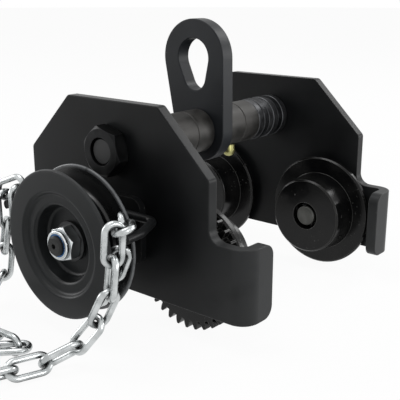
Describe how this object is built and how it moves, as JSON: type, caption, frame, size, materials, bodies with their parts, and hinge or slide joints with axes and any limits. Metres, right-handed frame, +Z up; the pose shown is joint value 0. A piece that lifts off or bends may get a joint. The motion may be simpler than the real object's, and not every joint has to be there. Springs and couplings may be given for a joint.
{
  "type": "geared beam trolley",
  "caption": "Geared beam trolley: side plates with bent bumper tabs, flanged wheels, a cross shaft carrying a swinging load plate, and a hand-chain wheel that drives the geared wheels.",
  "frame": {"origin": "on the floor under the middle of the trolley's own box, the hand chain left out; the trolley stands on its wheel rims as pictured, upside down to its use", "axes": "+X is the direction of travel, +Y runs from the hand-wheel side to the plain side along the shafts, +Z is up as pictured"},
  "size_m": [0.3187, 0.5233, 0.2078],
  "materials": {
    "side_plate_paint": "satin powder coat",
    "load_plate_paint": "satin powder coat",
    "wheel_paint": "gloss",
    "axle_steel": "turned",
    "bearing_steel": "polished",
    "ring_steel": "blackened",
    "sleeve_steel": "oiled grey",
    "washer_zinc": "dull zinc",
    "shaft_steel": "black oxide",
    "nut_black": "black oxide",
    "screw_yellow_zinc": "yellow zinc",
    "drive_shaft_steel": "oiled",
    "pinion_steel": "machined",
    "bracket_paint": "satin",
    "bush_bronze": "sintered",
    "guide_paint": "satin",
    "hand_wheel_paint": "satin powder coat",
    "hub_washer_black": "matt",
    "lock_nut_zinc": "bright zinc",
    "insert_nylon": "moulded",
    "chain_zinc": "bright zinc"
  },
  "bodies": {
    "trolley_frame": {"drive_side_plate": "side_plate_paint", "plain_side_plate": "side_plate_paint", "cross_shaft": "shaft_steel", "cross_shaft_nuts": "nut_black", "front_long_sleeve": "sleeve_steel", "front_short_sleeve": "sleeve_steel", "rear_long_sleeve": "sleeve_steel", "rear_short_sleeve": "sleeve_steel", "adjusting_washers": "washer_zinc", "lock_screw": "screw_yellow_zinc", "shaft_boss": "bracket_paint", "shaft_bushes": "bush_bronze", "guide_bracket": "bracket_paint", "guide_loop_left": "guide_paint", "guide_loop_right": "guide_paint", "chain_on_wheel": "chain_zinc", "chain_right_run": "chain_zinc", "chain_coil_first_half": "chain_zinc", "chain_coil_second_half": "chain_zinc", "chain_left_run": "chain_zinc", "geared_wheel_left_axle": "axle_steel", "geared_wheel_left_inner_race": "bearing_steel", "geared_wheel_left_axle_ring": "ring_steel", "geared_wheel_right_axle": "axle_steel", "geared_wheel_right_inner_race": "bearing_steel", "geared_wheel_right_axle_ring": "ring_steel", "plain_wheel_left_axle": "axle_steel", "plain_wheel_left_inner_race": "bearing_steel", "plain_wheel_left_axle_ring": "ring_steel", "plain_wheel_right_axle": "axle_steel", "plain_wheel_right_inner_race": "bearing_steel", "plain_wheel_right_axle_ring": "ring_steel"},
    "hand_wheel": {"drive_shaft": "drive_shaft_steel", "pinion": "pinion_steel", "pinion_key": "ring_steel", "pinion_ring": "ring_steel", "pinion_spacer": "pinion_steel", "hand_wheel_front_disc": "hand_wheel_paint", "hand_wheel_back_disc": "hand_wheel_paint", "pocket_drum": "hand_wheel_paint", "hub_washer": "hub_washer_black", "lock_nut": "lock_nut_zinc", "lock_nut_insert": "insert_nylon"},
    "geared_wheel_left": {"geared_wheel_left": "wheel_paint", "geared_wheel_left_outer_race": "bearing_steel", "geared_wheel_left_balls": "bearing_steel", "geared_wheel_left_bore_ring": "ring_steel"},
    "geared_wheel_right": {"geared_wheel_right": "wheel_paint", "geared_wheel_right_outer_race": "bearing_steel", "geared_wheel_right_balls": "bearing_steel", "geared_wheel_right_bore_ring": "ring_steel"},
    "plain_wheel_left": {"plain_wheel_left": "wheel_paint", "plain_wheel_left_outer_race": "bearing_steel", "plain_wheel_left_balls": "bearing_steel", "plain_wheel_left_bore_ring": "ring_steel"},
    "plain_wheel_right": {"plain_wheel_right": "wheel_paint", "plain_wheel_right_outer_race": "bearing_steel", "plain_wheel_right_balls": "bearing_steel", "plain_wheel_right_bore_ring": "ring_steel"},
    "load_plate": {"load_plate": "load_plate_paint"}
  },
  "joints": [
    {"name": "hand_wheel_spin", "type": "hinge", "parent": "trolley_frame", "child": "hand_wheel", "pos_m": [0, -0.12, 0.0652], "axis": [0, 1, 0], "continuous": true},
    {"name": "geared_wheel_left_spin", "type": "hinge", "parent": "trolley_frame", "child": "geared_wheel_left", "pos_m": [-0.05831, -0.0569, 0.04625], "axis": [0, 1, 0], "continuous": true},
    {"name": "geared_wheel_right_spin", "type": "hinge", "parent": "trolley_frame", "child": "geared_wheel_right", "pos_m": [0.05831, -0.0569, 0.04625], "axis": [0, 1, 0], "continuous": true},
    {"name": "plain_wheel_left_spin", "type": "hinge", "parent": "trolley_frame", "child": "plain_wheel_left", "pos_m": [-0.05831, 0.0931, 0.04625], "axis": [0, 1, 0], "continuous": true},
    {"name": "plain_wheel_right_spin", "type": "hinge", "parent": "trolley_frame", "child": "plain_wheel_right", "pos_m": [0.05831, 0.0931, 0.04625], "axis": [0, 1, 0], "continuous": true},
    {"name": "load_plate_swing", "type": "hinge", "parent": "trolley_frame", "child": "load_plate", "pos_m": [0, 0.0181, 0.122], "axis": [0, 1, 0], "range_deg": [-84, 96]}
  ],
  "couplings": [
    {"joint": "geared_wheel_left_spin", "follows": "hand_wheel_spin", "ratio": -0.4},
    {"joint": "geared_wheel_right_spin", "follows": "hand_wheel_spin", "ratio": -0.4}
  ]
}
